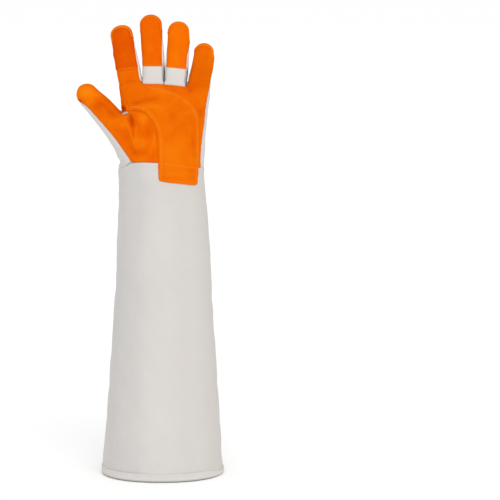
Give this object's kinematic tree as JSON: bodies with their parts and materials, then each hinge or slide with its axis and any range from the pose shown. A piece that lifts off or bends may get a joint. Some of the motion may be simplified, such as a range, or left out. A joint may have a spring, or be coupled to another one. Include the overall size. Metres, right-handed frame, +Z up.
{
  "type": "leather gauntlet glove",
  "caption": "Long left-hand work glove of light leather with an orange leather palm, patch, thumb and fingertips, a flaring elbow-length cuff open at its hem.",
  "frame": {"origin": "centre of the bounding box in X and Y, at the underside of the hem on which the glove stands", "axes": "+Z up from the hem towards the fingertips; palm faces -Y; thumb towards -X"},
  "size_m": [0.1878, 0.1222, 0.599],
  "materials": {
    "light_leather": "matte off-white split leather, fine nap, faint grey mottling",
    "orange_leather": "matte vivid orange split leather, short suede nap"
  },
  "bodies": {
    "root": {"cuff_hem": "light_leather", "cuff_body": "light_leather", "hand_back": "light_leather", "thumb_back": "light_leather", "finger_root_band": "light_leather", "fourchette_index_middle": "light_leather", "fourchette_middle_ring": "light_leather", "fourchette_ring_little": "light_leather", "thumb_front": "orange_leather", "palm_base": "orange_leather", "palm_patch": "orange_leather", "index_tip": "orange_leather", "middle_tip": "orange_leather", "ring_tip": "orange_leather"}
  },
  "joints": []
}
